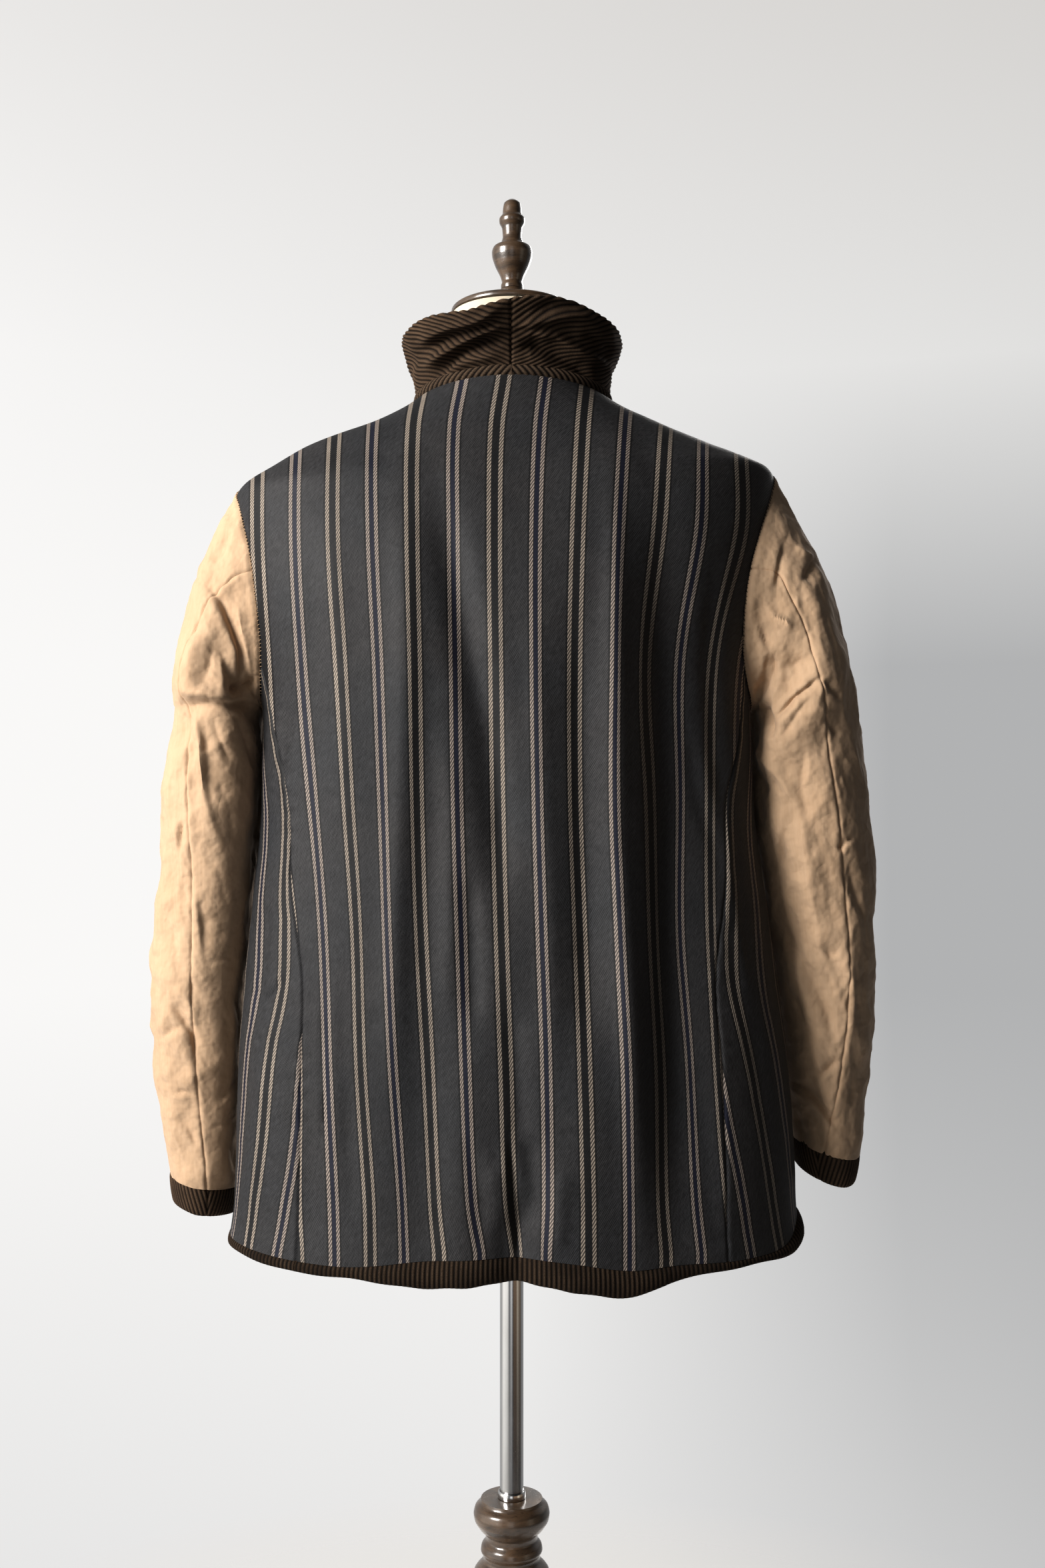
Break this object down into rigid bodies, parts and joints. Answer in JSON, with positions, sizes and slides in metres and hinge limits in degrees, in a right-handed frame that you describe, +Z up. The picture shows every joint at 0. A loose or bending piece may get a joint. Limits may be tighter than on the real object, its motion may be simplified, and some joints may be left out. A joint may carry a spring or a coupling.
{
  "type": "hunting jacket inside out on a limbless dress form",
  "caption": "Inside-out hunting jacket with corduroy collar, cuffs and hem, open at neck, cuffs and hem, standing on a limbless dress form with a turned wood stand.",
  "frame": {"origin": "on the floor under the middle of the stand's pole, at the bottom centre of the whole object", "axes": "+Z up along the pole; -Y is the jacket's back; +X is the wearer's right side"},
  "size_m": [0.6361, 0.396, 1.4524],
  "materials": {
    "striped_lining": "matt charcoal twill with paired pale stripes",
    "sleeve_lining": "soft creased ecru cotton twill",
    "corduroy": "dark brown wide-wale corduroy",
    "form_cloth": "cream linen over a firm form",
    "dark_wood": "dark stained, glossy varnish",
    "chrome": "polished"
  },
  "bodies": {
    "root": {"back": "striped_lining", "front_left": "striped_lining", "front_right": "striped_lining", "top_sleeve_left": "sleeve_lining", "under_sleeve_left": "sleeve_lining", "top_sleeve_right": "sleeve_lining", "under_sleeve_right": "sleeve_lining", "cuff_left": "corduroy", "cuff_right": "corduroy", "hem_back": "corduroy", "hem_front_left": "corduroy", "hem_front_right": "corduroy", "neck_band": "corduroy", "collar_left": "corduroy", "collar_right": "corduroy", "dress_form": "form_cloth", "neck_cap": "dark_wood", "finial": "dark_wood", "post": "dark_wood", "leg_1": "dark_wood", "leg_2": "dark_wood", "leg_3": "dark_wood", "leg_4": "dark_wood", "pole": "chrome", "ferrule": "chrome"}
  },
  "joints": []
}
